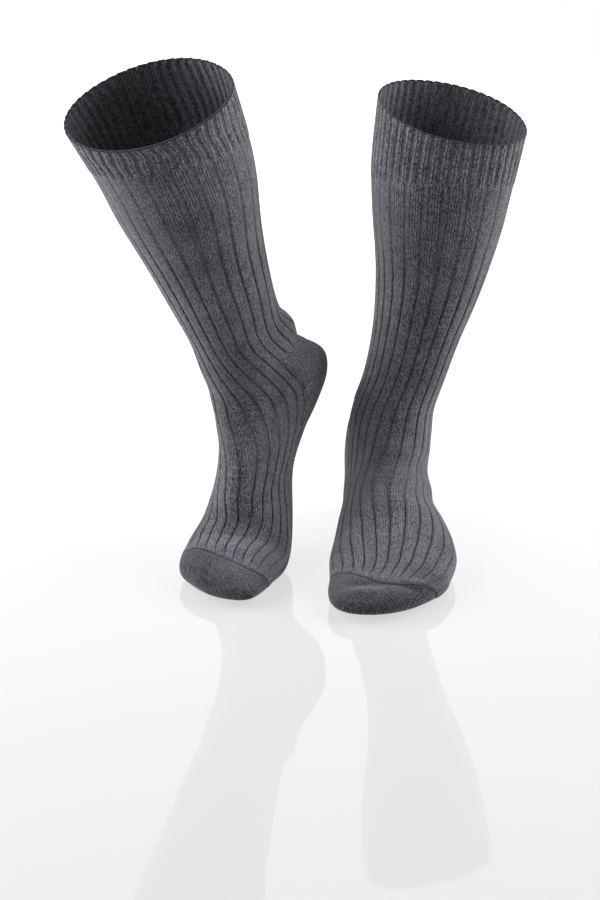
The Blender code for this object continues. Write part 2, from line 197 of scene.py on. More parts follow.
# What sets the sections of each sock apart from the general ones.
TRIMS = {
    Side.LEFT: (
        Trim("cuff_base", -2, -3),
        Trim("calf", -3, -3),
        Trim("low_calf", -4, -2),
        Trim("shin", -4, -2),
        Trim("above_ankle", -2, -2),
        Trim("ankle", -2, -2),
        Trim("ankle_bones", -2, -1),
        Trim("heel_back", -2, -1),
        Trim("heel_turn", -1, -2),
        Trim("heel_base", 0, -2),
        Trim("rear_arch", 1, -3),
        Trim("mid_arch", 2, -2),
        Trim("front_arch", 1, -1),
        Trim("toe_root", -3, -1),
        Trim("rib_end", -4, -2),
        Trim("toe_seam", -5, -4),
        Trim("toe_cap", -4, -4),
        Trim("toe_front", -2, -2),
    ),
    Side.RIGHT: (
        Trim("cuff_base", 0, 0, -3, -5),
        Trim("calf", 0, 0, -3, -4),
        Trim("low_calf", 0, 0, -4, -2),
        Trim("shin", 3, 0, -2, 0),
        Trim("above_ankle", 1, 1, 1, 0),
        Trim("ankle", 0, 2, 3, 0),
        Trim("ankle_bones", -1, 1, 3, 0),
        Trim("heel_back", -2, 0, 2, 0),
        Trim("heel_turn", 0, 1, 1, 0),
        Trim("heel_base", 1, 1, 1, 0),
        Trim("rear_arch", -2, 1),
        Trim("mid_arch", -6, 0, -2, 0),
        Trim("front_arch", -5, -2, -4, 0),
        Trim("ball", -2, 0),
        Trim("toe_root", -2, 0),
        Trim("rib_end", -3, 0),
        Trim("toe_seam", -3, 0),
        Trim("toe_cap", -4, -1),
        Trim("toe_front", -2, 0),
    ),
}

# The creases, placed at the ankles and the toes.
FOLDS = {
    Side.LEFT: (
        Fold("ankle_bones", 0.5, 80, -1.6, 0.6, 16),
        Fold("ankle_bones", 0.5, -85, -1.2, 0.6, 16),
        Fold("above_ankle", 0.8, 180, 1.6, 0.5, 50),
        Fold("ankle", 0.6, 176, -1.1, 0.16, 48),
        Fold("ankle_bones", 0.05, 186, 1.1, 0.15, 44),
        Fold("ankle_bones", 0.9, 51, 1.4, 0.6, 18),
        Fold("toe_cap", 0.7, -10, 3.4, 0.45, 26),
        Fold("toe_cap", 0.05, -8, -2.6, 0.3, 28),
        Fold("toe_seam", 0.9, 42, -2.6, 0.22, 22),
        Fold("toe_seam", 0.45, 36, 1.2, 0.2, 26),
        Fold("toe_seam", 0.6, 170, -1.2, 0.5, 30),
    ),
    Side.RIGHT: (
        Fold("above_ankle", 0.6, 190, 3.5, 0.35, 55),
        Fold("ankle", 0.5, 180, -1.5, 0.4, 60),
        Fold("ankle", 0.95, 185, 1.1, 0.15, 42),
        Fold("ankle_bones", 0.3, 177, -1.1, 0.15, 40),
        Fold("rib_end", 0.1, -6, 1.9, 0.5, 24),
        Fold("toe_seam", 0.6, 50, 1.4, 0.8, 20),
        Fold("toe_seam", 0.8, 25, -2.6, 0.4, 8),
        Fold("toe_cap", 0.4, 42, -4.4, 0.45, 10),
        Fold("toe_front", 0.1, 68, -4.6, 0.5, 15),
        Fold("toe_cap", 0.2, -6, 3.0, 0.7, 18),
        Fold("toe_seam", 0.5, 165, -1.2, 0.5, 30),
    ),
}

# How far the end of the cuff and the toe seam are pulled along the sock, in sections: all round, to the outer
# side and to the front.
CUFF_PULLS = {Side.LEFT: (0.2, -0.1, -0.4), Side.RIGHT: (0.0, 0.3, -0.3)}
TOE_PULLS = {Side.LEFT: (-0.65, 0.6, 1.4), Side.RIGHT: (-0.65, -1.0, 0.8)}

# How far the wales in front are twisted round the sock by its pose, in degrees, from place to place.
TWISTS = {
    Side.LEFT: ((9.6, 0), (13.5, -5), (16.2, 0)),
    Side.RIGHT: ((0, 0), (2, -3), (5, -4), (7.2, -7), (10, -4), (12.6, -6), (16.2, 0)),
}

# How far the fine ribs of the cuff wave to either side, in degrees.
CUFF_WAVES = {Side.LEFT: 0.0, Side.RIGHT: 1.3}


def smooth_step(low: float, high: float, value: np.ndarray) -> np.ndarray:
    """A soft ramp from 0 at low to 1 at high.

    Args:
        low: where the ramp starts.
        high: where it ends.
        value: the places to read it at.

    Returns:
        The ramp's height at each place.
    """
    share = np.clip((value - low) / (high - low), 0, 1)
    return share * share * (3 - 2 * share)


def rotation(axis: str, degrees: np.ndarray) -> np.ndarray:
    """Rotation matrices about one axis.

    Args:
        axis: X, Y or Z.
        degrees: an array of angles.

    Returns:
        An array of 3 by 3 matrices, one for each angle.
    """
    turn = np.radians(degrees)
    matrix = np.zeros(turn.shape + (3, 3))
    first, second = {"X": (1, 2), "Y": (2, 0), "Z": (0, 1)}[axis]
    kept = "XYZ".index(axis)
    matrix[..., kept, kept] = 1
    matrix[..., first, first] = matrix[..., second, second] = np.cos(turn)
    matrix[..., first, second] = -np.sin(turn)
    matrix[..., second, first] = np.sin(turn)
    return matrix


def turned(points: np.ndarray, axis: str, degrees: np.ndarray) -> np.ndarray:
    """The points, each turned about an axis by its own angle."""
    return np.einsum("...ij,...j->...i", rotation(axis, degrees), points)


def wrapped(turns: np.ndarray) -> np.ndarray:
    """The same turns in degrees, counted from -180 to 180."""
    return (turns + 180) % 360 - 180


def squared_off(wave: np.ndarray, square: np.ndarray) -> np.ndarray:
    """A sine or cosine for a ring that is an ellipse where square is 2, and fuller in its corners above 2."""
    return np.sign(wave) * np.abs(wave) ** (2 / square)


def gaps(points: np.ndarray, axis: int) -> np.ndarray:
    """How far each point of a grid is from the next one, down its columns for 0 or along its rows for 1."""
    return np.linalg.norm(np.diff(points, axis=axis), axis=-1)


def behind(wales: np.ndarray) -> np.ndarray:
    """Which wales are in the back half of the sock."""
    return (wales % WALES > WALES / 4) & (wales % WALES < WALES * 3 / 4)


def mesh_of(work: bmesh.types.BMesh, name: str) -> bpy.types.Mesh:
    """Makes a mesh of a worked shape, which is then done with.

    Args:
        work: the worked shape.
        name: the mesh's name.

    Returns:
        The mesh.
    """
    mesh = bpy.data.meshes.new(name)
    work.to_mesh(mesh)
    work.free()
    return mesh


def placed(name: str, data: bpy.types.ID) -> bpy.types.Object:
    """Puts a new object in the scene.

    Args:
        name: its name.
        data: its mesh, lamp or camera.

    Returns:
        The object.
    """
    thing = bpy.data.objects.new(name, data)
    bpy.context.scene.collection.objects.link(thing)
    return thing


def mount(thing: bpy.types.Object, node: str) -> None:
    """Puts a piece in the place of its solid, on the object's one body.

    Args:
        thing: the piece.
        node: the solid that it stands for.
    """
    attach(thing, BODY)
    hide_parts(node)


@dataclass
class SockForm:
    """The smooth form that one sock is stretched over, worked out from SECTIONS for its pose."""

    pose: Pose
    drop: float = 0.0
    origin: Spot = (0.0, 0.0, 0.0)
    even_table: np.ndarray | None = None

    def sized_sections(self) -> np.ndarray:
        """The sizes of every section, with this sock's length, girth, width and trims.

        Returns:
            A row of ten sizes for each section, in the order of its fields.
        """
        trims = {trim.section: trim for trim in TRIMS[self.pose.side]}
        rows = []
        for section in SECTIONS:
            front_f, back_f, half_width = section.front_f, section.back_f, section.half_width
            front_u, back_u = section.front_u, section.back_u
            if section.shank < FOOT_SHANK:
                half_width *= self.pose.spread
            if section.shank == 1:
                middle_f = (front_f + back_f) / 2
                share = ((front_u + back_u) / 2 - LEG_START_U) / (GIRTH_FULL_U - LEG_START_U)
                girth = 1 + (self.pose.girth - 1) * min(1, max(0, share))
                front_f = middle_f + (front_f - middle_f) * girth
                back_f = middle_f + (back_f - middle_f) * girth
                half_width *= girth
                front_u, back_u = self.stretched(front_u), self.stretched(back_u)
            trim = trims.get(section.name, Trim(section.name, 0, 0))
            depth = hypot(front_f - back_f, front_u - back_u)
            forward, up = (front_f - back_f) / depth, (front_u - back_u) / depth
            rows.append((front_f + trim.front * forward, front_u + trim.front * up,
                         back_f - trim.back * forward, back_u - trim.back * up,
                         half_width + trim.width, section.shift + trim.shift,
                         section.egg, section.square, section.shank, section.toes))
        return np.array(rows, float)

    def stretched(self, height: float) -> float:
        """A height on the form, moved up with the stretch of the leg where it is on the leg."""
        return LEG_START_U + (height - LEG_START_U) * (self.pose.leg_stretch if height > LEG_START_U else 1)

    def sizes_at(self, places: np.ndarray) -> np.ndarray:
        """The section's sizes at any place along the sock, on a smooth curve through the sections.

        Args:
            places: numbers of sections counted from the rim, with fractions.

        Returns:
            An array with one more axis than places, which holds the ten sizes.
        """
        table = self.sized_sections()
        places = np.clip(places, 0, LAST_PLACE)
        start = np.minimum(places.astype(int), LAST_PLACE - 1)
        t = (places - start)[..., None]
        before = table[np.maximum(start - 1, 0)]
        here = table[start]
        after = table[start + 1]
        beyond = table[np.minimum(start + 2, LAST_PLACE)]
        slope = (after - before) * t
        bend = (2 * before - 5 * here + 4 * after - beyond) * t**2
        twist = (3 * here - before - 3 * after + beyond) * t**3
        return (2 * here + slope + bend + twist) / 2

    def lift(self, places: np.ndarray, angles: np.ndarray) -> np.ndarray:
        """How far the folds lift the cloth.

        Args:
            places: numbers of sections from the rim.
            angles: degrees round from the front.

        Returns:
            Millimetres outwards at each point.
        """
        total = np.zeros(np.broadcast(places, angles).shape)
        for fold in FOLDS[self.pose.side]:
            along = (places - PLACE[fold.section] - fold.share) / fold.reach
            around = wrapped(angles - fold.angle) / fold.spread
            total = total + fold.height * np.exp(-(along**2) - around**2)
        return total

    def in_foot(self, places: np.ndarray, angles: np.ndarray) -> np.ndarray:
        """Points of the form in the foot's own plane, as forward, sideways and up.

        Args:
            places: numbers of sections from the rim, of shape rows by columns.
            angles: degrees round from the front by the outer side, of the same shape.

        Returns:
            An array of points in millimetres.
        """
        sizes = np.moveaxis(self.sizes_at(places), -1, 0)
        front_f, front_u, back_f, back_u, half_width, shift, egg, square, shank, toes = sizes
        turn = np.radians(angles)
        across = squared_off(np.sin(turn), square)
        along = squared_off(np.cos(turn), square) - egg * across**2
        size = 1 + self.lift(places, angles) / np.maximum(half_width, 1)
        forward = (front_f + back_f) / 2 + (front_f - back_f) / 2 * along * size
        up = (front_u + back_u) / 2 + (front_u - back_u) / 2 * along * size
        sideways = shift + half_width * across * size
        rim = self.sizes_at(np.zeros(1))[0]
        rim_u = (rim[1] + rim[3]) / 2
        height = ((front_u + back_u) / 2 - LEG_START_U) / (rim_u - LEG_START_U)
        share = np.clip(height, 0, 1) ** 2
        up = up + share * tan(radians(self.pose.rim_pitch)) * (forward - (front_f + back_f) / 2)
        up = up + share * tan(radians(self.pose.rim_roll)) * (sideways - shift)
        points = np.stack((forward, sideways, up), axis=-1) - ANKLE
        points = turned(points, "Z", self.pose.shank_turn * shank)
        points = turned(points, "X", -self.pose.lean_out * shank)
        points = turned(points, "Y", -self.pose.ankle_back * shank)
        return turned(points + ANKLE - BALL, "Y", self.pose.heel_raise * (1 - toes)) + BALL

    def on_floor(self, places: np.ndarray, angles: np.ndarray) -> np.ndarray:
        """Points of the form in the frame of the solids.

        Args:
            places: numbers of sections from the rim.
            angles: degrees round from the front, of the same shape.

        Returns:
            An array of points in millimetres.
        """
        forward, sideways, up = np.moveaxis(self.in_foot(places, angles), -1, 0)
        side = self.pose.side.value
        points = np.stack((side * sideways, -forward, up - self.drop), axis=-1)
        points = turned(points, "Z", np.full(places.shape, float(self.pose.turn_out * side)))
        return points + np.array((self.pose.heel_x, self.pose.heel_y, 0)) - np.array(self.origin)

    def normals(self, places: np.ndarray, angles: np.ndarray) -> np.ndarray:
        """Which way the form faces, out of the sock.

        Args:
            places: numbers of sections from the rim.
            angles: degrees round from the front, of the same shape.

        Returns:
            A direction of length 1 for each point.
        """
        down = self.on_floor(np.clip(places + SLOPE_STEP, 0, LAST_PLACE), angles)
        down = down - self.on_floor(np.clip(places - SLOPE_STEP, 0, LAST_PLACE), angles)
        around = self.on_floor(places, angles + TURN_STEP) - self.on_floor(places, angles - TURN_STEP)
        normals = np.cross(down, around) * self.pose.side.value
        return normals / np.maximum(np.linalg.norm(normals, axis=-1, keepdims=True), 1e-9)

    def evened(self, places: np.ndarray, turns: np.ndarray) -> np.ndarray:
        """Angles at which the cloth is spread evenly over each quarter of a section.

        Args:
            places: numbers of sections from the rim.
            turns: degrees round from the front, as shares of the way along the cloth.

        Returns:
            The angles that on_floor takes.
        """
        if self.even_table is None:
            self.even_table = self.even_angles()
        turns = wrapped(turns)
        row = np.clip(places, 0, LAST_PLACE) * TABLE_STEPS
        low_row = np.minimum(row.astype(int), LAST_PLACE * TABLE_STEPS - 1)
        column = np.abs(turns)
        low_column = np.minimum(column.astype(int), 179)
        down, along = row - low_row, column - low_column
        table = self.even_table
        near = table[low_row, low_column] * (1 - along) + table[low_row, low_column + 1] * along
        far = table[low_row + 1, low_column] * (1 - along) + table[low_row + 1, low_column + 1] * along
        return np.sign(turns) * (near * (1 - down) + far * down)

    def even_angles(self) -> np.ndarray:
        """Works out the table behind evened.

        Returns:
            A row of angles for each place, with a column for each degree from 0 to 180.
        """
        degrees = np.arange(181.0)
        places = np.linspace(0, LAST_PLACE, LAST_PLACE * TABLE_STEPS + 1)
        places, angles = np.meshgrid(places, degrees, indexing="ij")
        sizes = np.moveaxis(self.sizes_at(places), -1, 0)
        front_f, front_u, back_f, back_u, half_width, _, egg, square = sizes[:8]
        across = squared_off(np.sin(np.radians(angles)), square)
        along = squared_off(np.cos(np.radians(angles)), square) - egg * across**2
        half_depth = np.hypot(front_f - back_f, front_u - back_u)[:, 1:] / 2
        steps = np.hypot(np.diff(across * half_width, axis=1), np.diff(along, axis=1) * half_depth)
        way = np.hstack((np.zeros((len(steps), 1)), np.cumsum(steps, axis=1)))
        side = way[:, 90:91]
        rear = 90 + (way - side) / (way[:, -1:] - side) * 90
        share = np.where(degrees <= 90, way / side * 90, rear)
        return np.array([np.interp(degrees, row, degrees) for row in share])

    def settle(self) -> None:
        """Brings the sock down until its sole rests on the floor and gives way a little."""
        places, angles = np.linspace(0, LAST_PLACE, SETTLE_ROWS), np.arange(0, 360, SETTLE_TURN)
        places, angles = np.meshgrid(places, angles, indexing="ij")
        self.drop = float(self.on_floor(places, angles)[..., 2].min()) + SOLE_PRESS

    def rim_centre(self) -> np.ndarray:
        """The middle of the rim, in millimetres."""
        angles = np.arange(0, 360, RIB_TURN)
        return self.on_floor(np.zeros(angles.shape), angles).mean(axis=0)

    def girth(self, places: np.ndarray) -> np.ndarray:
        """How far it is round the sock at each place, in millimetres, near enough to spread its ribs."""
        front_f, front_u, back_f, back_u, half_width = np.moveaxis(self.sizes_at(places)[..., :5], -1, 0)
        return np.pi * (half_width + np.hypot(front_f - back_f, front_u - back_u) / 2)


@dataclass(frozen=True)
class WaleLayout:
    """How the wales of one rib share its turn, from the middle of a groove to the next, and how they stand.

    Heights in millimetres and painted shade from 0 to 1 are given at even steps from groove to groove.
    """

    wales: int
    purl: int
    turn: float
    heights: tuple[float, ...]
    tight_shades: tuple[float, ...]
    open_shades: tuple[float, ...]

    def read(self, values: tuple[float, ...], wales: np.ndarray) -> np.ndarray:
        """The heights or painted shade at each wale."""
        return np.interp(wales % self.wales, np.linspace(0, self.wales, len(values)), values)

    def height(self, wales: np.ndarray) -> np.ndarray:
        """How high each wale stands out of the groove, in millimetres."""
        return self.read(self.heights, wales)

    def shade(self, wales: np.ndarray, ribs_open: np.ndarray) -> np.ndarray:
        """The painted shade on each wale, where its neighbours would shade it, as far as the ribs are open.
        """
        tight = self.read(self.tight_shades, wales)
        return tight + (self.read(self.open_shades, wales) - tight) * ribs_open

    def angles(self, wales: np.ndarray, share: np.ndarray) -> np.ndarray:
        """Where each wale stands round the sock.

        Args:
            wales: wales counted from the front of the leg, with fractions.
            share: how much of the turn the purl wales in the groove take.

        Returns:
            Angles in degrees.
        """
        rib, wale = np.divmod(wales, self.wales)
        edge = self.purl / 2
        groove = wale * share / self.purl
        knit = share / 2 + (wale - edge) * (1 - share) / (self.wales - self.purl)
        next_groove = 1 - (self.wales - wale) * share / self.purl
        part = np.where(wale <= edge, groove, np.where(wale >= self.wales - edge, next_groove, knit))
        return self.turn * (rib + part)

    def purled(self, wales: np.ndarray) -> np.ndarray:
        """1 on the purl wales in the groove, and 0 on the knit wales of the rib."""
        wale = wales % self.wales
        return 1 - smooth_step(self.purl / 2 - 0.5, self.purl / 2 + 0.5, np.minimum(wale, self.wales - wale))


# The wide ribs of leg and foot, and the narrow ones of the cuff, which stand two to a wide rib.
# Their last two rows are painted shade in and beside the grooves, for tight ribs and for open ones.
WIDE_RIB = WaleLayout(
    WALES_PER_RIB, 3, RIB_TURN,
    (0.0, 0.02, 0.1, 0.4, 0.72, 0.58, 0.78, 0.6, 0.78, 0.6, 0.78, 0.58, 0.72, 0.4, 0.1, 0.02, 0.0),
    (1.0, 1.0, 0.9, 0.55, 0.05, 0.0, 0.0, 0.0, 0.0, 0.0, 0.0, 0.0, 0.05, 0.55, 0.9, 1.0, 1.0),
    (0.1, 0.1, 0.25, 0.85, 0.1, 0.0, 0.0, 0.0, 0.0, 0.0, 0.0, 0.0, 0.1, 0.85, 0.25, 0.1, 0.1),
)
FINE_RIB = WaleLayout(
    WALES_PER_RIB // 2, 2, RIB_TURN / 2,
    (-0.2, -0.1, 0.25, 0.75, 0.62, 0.75, 0.25, -0.1, -0.2),
    (1.0, 0.9, 0.5, 0.0, 0.2, 0.0, 0.5, 0.9, 1.0),
    (0.9, 0.8, 0.5, 0.0, 0.2, 0.0, 0.5, 0.8, 0.9),
)


@dataclass
class Lay:
    """What points take from the knit: degrees round, millimetres of height, and marks from 0 to 1."""

    turns: np.ndarray
    heights: np.ndarray
    purl: np.ndarray
    # Painted shade of rib grooves and fold dents, painted highlight on fold bumps, and the toe seam's dark
    # line.
    groove: np.ndarray
    # Painted shade in the gaps between knit wales.
    line: np.ndarray


@dataclass
class SockKnit:
    """Where every wale of a sock runs over its form, and how high it stands there.

    Heights and depths are millimetres, shares are parts of a rib's turn, and places, edges and reaches are
    sections. A drift is a wave of the wales: its degrees, its pace along and round the sock, and its start.
    """

    form: SockForm
    plain_height: float = 0.4
    narrow_girth: float = 228.0
    wide_girth: float = 338.0
    narrow_share: float = 0.1
    wide_share: float = 0.27
    plain_share: float = 0.375
    cuff_share: float = 0.35
    groove_depth: float = 0.35
    seam_depth: float = 0.6
    seam_reach: float = 0.07
    toe_seam_reach: float = 0.112
    open_relief: float = 0.45
    bank_wales: float = 2.5
    heel_edge: float = 0.12
    cuff_edge: float = 0.1
    rib_fade: tuple[float, float] = (0.1, 0.8)
    # How strong the painted shade between wales is where the ribs are tight.
    tight_line: float = 0.5
    scallop: float = 0.02
    scallop_reach: float = 0.1
    # Painted shade of the folds: the millimetres of dent that give full painted shade, and its range from
    # painted highlight on bumps to painted shade in dents.
    shade_depth: float = 7.5
    shades: tuple[float, float] = (-0.25, 0.5)
    drifts: tuple[tuple[float, float, int, float], ...] = ((0.35, 1.1, 2, 0.0), (0.2, 2.9, -3, 1.0))
    cuff_wave: tuple[float, int] = (5.2, 4)
    cuff_wave_fade: tuple[float, float] = (1.5, 0.2)
    gather: float = 0.26
    gather_place: float = 9.4
    gather_reach: float = 2.2
    cuff_pull_reach: float = 2.2
    toe_pull_reach: float = 5.0

    def ribs_open(self, places: np.ndarray) -> np.ndarray:
        """How far the ribs are pulled apart, from 0 at the ankle to 1 where the calf is thickest."""
        return smooth_step(self.narrow_girth, self.wide_girth, self.form.girth(places))

    def plain(self, wales: np.ndarray, places: np.ndarray) -> np.ndarray:
        """Where the knit is plain: behind the ankle, under the foot and before the toe seam.

        Args:
            wales: wales counted from the front of the leg.
            places: numbers of sections from the rim.

        Returns:
            1 where it is plain, and 0 on the ribs.
        """
        below = smooth_step(PLACE["ankle"] - self.heel_edge, PLACE["ankle"], places)
        ahead = smooth_step(*self.rib_fade, places - PLACE["rib_end"])
        return np.where(behind(wales), below, ahead)

    def sway(self, places: np.ndarray, angles: np.ndarray) -> np.ndarray:
        """How far the wales wander to either side, and are twisted round the sock in front.

        Args:
            places: numbers of sections from the rim.
            angles: degrees round from the front.

        Returns:
            Degrees to add to the angles.
        """
        turn = np.radians(angles)
        drift = sum(high * np.sin(places * along + around * turn + start)
                    for high, along, around, start in self.drifts)
        wave = np.sin(places * self.cuff_wave[0] + turn * self.cuff_wave[1])
        drift = drift + CUFF_WAVES[self.form.pose.side] * wave * smooth_step(*self.cuff_wave_fade, places)
        drift = drift * smooth_step(PLACE["rear_arch"], PLACE["above_ankle"], places)
        twist_places, twist_degrees = zip(*TWISTS[self.form.pose.side])
        from_front = turn - tau * np.round(turn / tau)
        in_front = np.cos(np.clip(from_front, -np.pi / 2, np.pi / 2)) ** 0.5
        return drift + np.interp(places, twist_places, twist_degrees) * in_front

    def moved(self, places: np.ndarray, turns: np.ndarray) -> np.ndarray:
        """Places on the form, with the ends of cuff and toe pulled out of line as the cloth lies.

        Args:
            places: places in the knit, where each piece ends at a section.
            turns: degrees round from the front.

        Returns:
            Places on the form.
        """
        turn = np.radians(turns)
        side, cuff, seam = self.form.pose.side, PLACE["cuff_base"], PLACE["toe_seam"]
        above = smooth_step(0, cuff, places) * smooth_step(cuff + self.cuff_pull_reach, cuff, places)
        before = smooth_step(seam - self.toe_pull_reach, seam, places)
        before = before * smooth_step(PLACE["toe_end"], seam, places)
        loops = 0.5 + 0.5 * np.cos(turn * WALES / FINE_RIB.wales)
        shift = self.scallop * loops * smooth_step(self.scallop_reach, 0, places)
        for pull, weight in ((CUFF_PULLS[side], above), (TOE_PULLS[side], before)):
            shift = shift + (pull[0] + pull[1] * np.sin(turn) + pull[2] * np.cos(turn)) * weight
        return places + shift

    def reach(self, place: float, turns: np.ndarray) -> np.ndarray:
        """How far it is along the cloth from the rim to a place, at each turn, in metres."""
        steps = np.linspace(0, place, int(place * REACH_STEPS) + 2)
        return gaps(self.on_form(*np.meshgrid(steps, turns, indexing="ij"))[0], 0).sum(axis=0) * MM

    def on_form(self, places: np.ndarray, turns: np.ndarray) -> tuple[np.ndarray, np.ndarray]:
        """Lays places and turns of the knit on the form.

        Args:
            places: places in the knit.
            turns: degrees round from the front, of the same shape.

        Returns:
            The points, in millimetres, and the form's normals there.
        """
        moved = self.moved(places, turns)
        angles = self.form.evened(moved, self.gathered(moved, turns))
        return self.form.on_floor(moved, angles), self.form.normals(moved, angles)

    def painted_fold_shade(self, places: np.ndarray, turns: np.ndarray) -> np.ndarray:
        """The painted shade in the dents of the folds, and the painted highlight on their bumps.

        Args:
            places: places in the knit.
            turns: degrees round from the front.

        Returns:
            The painted shade at each point, above 0 in a dent, and below it, as painted highlight, on top of
            a bump.
        """
        moved = self.moved(places, turns)
        lift = self.form.lift(moved, self.form.evened(moved, self.gathered(moved, turns)))
        return np.clip(-lift / self.shade_depth, *self.shades)

    def gathered(self, places: np.ndarray, turns: np.ndarray) -> np.ndarray:
        """Where turns lie round the sock, with the instep's half drawn in beside the pocket of the heel.

        Args:
            places: places on the form.
            turns: degrees round from the front.

        Returns:
            Degrees round, from -180 to 180.
        """
        half = 90 * (1 - self.gather * np.exp(-(((places - self.gather_place) / self.gather_reach) ** 2)))
        turns = wrapped(turns)
        away = np.abs(turns)
        drawn = np.where(away <= 90, away * half / 90, half + (away - 90) * (180 - half) / 90)
        return np.sign(turns) * drawn

    def lay(self, wales: np.ndarray, places: np.ndarray) -> Lay:
        """Lays the wales from the rim to the toe seam.

        Args:
            wales: wales counted from the front of the leg by the outer side.
            places: numbers of sections from the rim, of the same shape.

        Returns:
            Where they lie and how they stand, with their marks.
        """
        ribs_open = self.ribs_open(places)
        plain, rear = self.plain(wales, places), behind(wales)
        share = self.narrow_share + (self.wide_share - self.narrow_share) * ribs_open
        share = share + (self.plain_share - share) * plain * rear
        angles = WIDE_RIB.angles(wales, share)
        purl = WIDE_RIB.purled(wales)
        heights = WIDE_RIB.height(wales) * (1 + (self.open_relief - 1) * ribs_open)
        heights = heights - self.groove_depth * (1 - ribs_open) * purl**2
        edge = np.minimum(np.abs(wales % WALES - WALES / 4), np.abs(wales % WALES - WALES * 3 / 4))
        bank = smooth_step(0, self.bank_wales, edge) * rear + (1 - rear)
        flat = -self.groove_depth * (1 - ribs_open) * (1 - bank) + self.plain_height * bank
        heights = heights + (flat - heights) * plain
        purl = purl * (1 - plain)
        # Painted shade in the grooves of the ribs, none on the plain knit.
        groove = WIDE_RIB.shade(wales, ribs_open) * (1 - plain * bank)
        cuff = smooth_step(PLACE["cuff_base"], PLACE["cuff_base"] - self.cuff_edge, places)
        angles = angles + (FINE_RIB.angles(wales, np.full(wales.shape, self.cuff_share)) - angles) * cuff
        heights = heights + (FINE_RIB.height(wales) - heights) * cuff
        purl = purl + (FINE_RIB.purled(wales) - purl) * cuff
        groove = groove + (FINE_RIB.shade(wales, ribs_open) - groove) * cuff
        seam = np.exp(-(((places - PLACE["toe_seam"]) / self.seam_reach) ** 2))
        heights = heights - self.seam_depth * seam
        # Painted shade in the gaps between knit wales, stronger where the ribs are pulled open.
        line = (self.tight_line + (1 - self.tight_line) * ribs_open) * (1 - purl)
        # The groove mark holds the painted groove shade and the toe seam's dark thread line.
        return Lay(angles + self.sway(places, angles), heights, purl, np.maximum(groove, seam), line)

    def lay_toe(self, wales: np.ndarray, places: np.ndarray) -> Lay:
        """Lays the wales of the toe, from the seam to its tip.

        Args:
            wales: wales round the toe, half as many as round the foot.
            places: numbers of sections from the rim, of the same shape.

        Returns:
            Where they lie and how they stand, with their marks.
        """
        seam = np.exp(-(((places - PLACE["toe_seam"]) / self.toe_seam_reach) ** 2))
        heights = self.plain_height - self.seam_depth * seam
        return Lay(wales * 360 / (WALES / 2), heights, np.zeros(wales.shape), seam, np.ones(wales.shape))


class Signal:
    """A value that runs through a material, which takes part in sums as a number does."""

    def __init__(self, graph: "Graph", socket: bpy.types.NodeSocket) -> None:
        """Keeps the graph and the socket that the value comes out of."""
        self.graph = graph
        self.socket = socket

    def __add__(self, other: "Signal | float") -> "Signal":
        """The sum."""
        return self.graph.maths("ADD", self, other)

    def __sub__(self, other: "Signal | float") -> "Signal":
        """The difference."""
        return self.graph.maths("SUBTRACT", self, other)

    def __rsub__(self, other: float) -> "Signal":
        """The difference from a number."""
        return self.graph.maths("SUBTRACT", other, self)

    def __mul__(self, other: "Signal | float") -> "Signal":
        """The product."""
        return self.graph.maths("MULTIPLY", self, other)

    def __truediv__(self, other: "Signal | float") -> "Signal":
        """The quotient."""
        return self.graph.maths("DIVIDE", self, other)

    __radd__ = __add__
    __rmul__ = __mul__


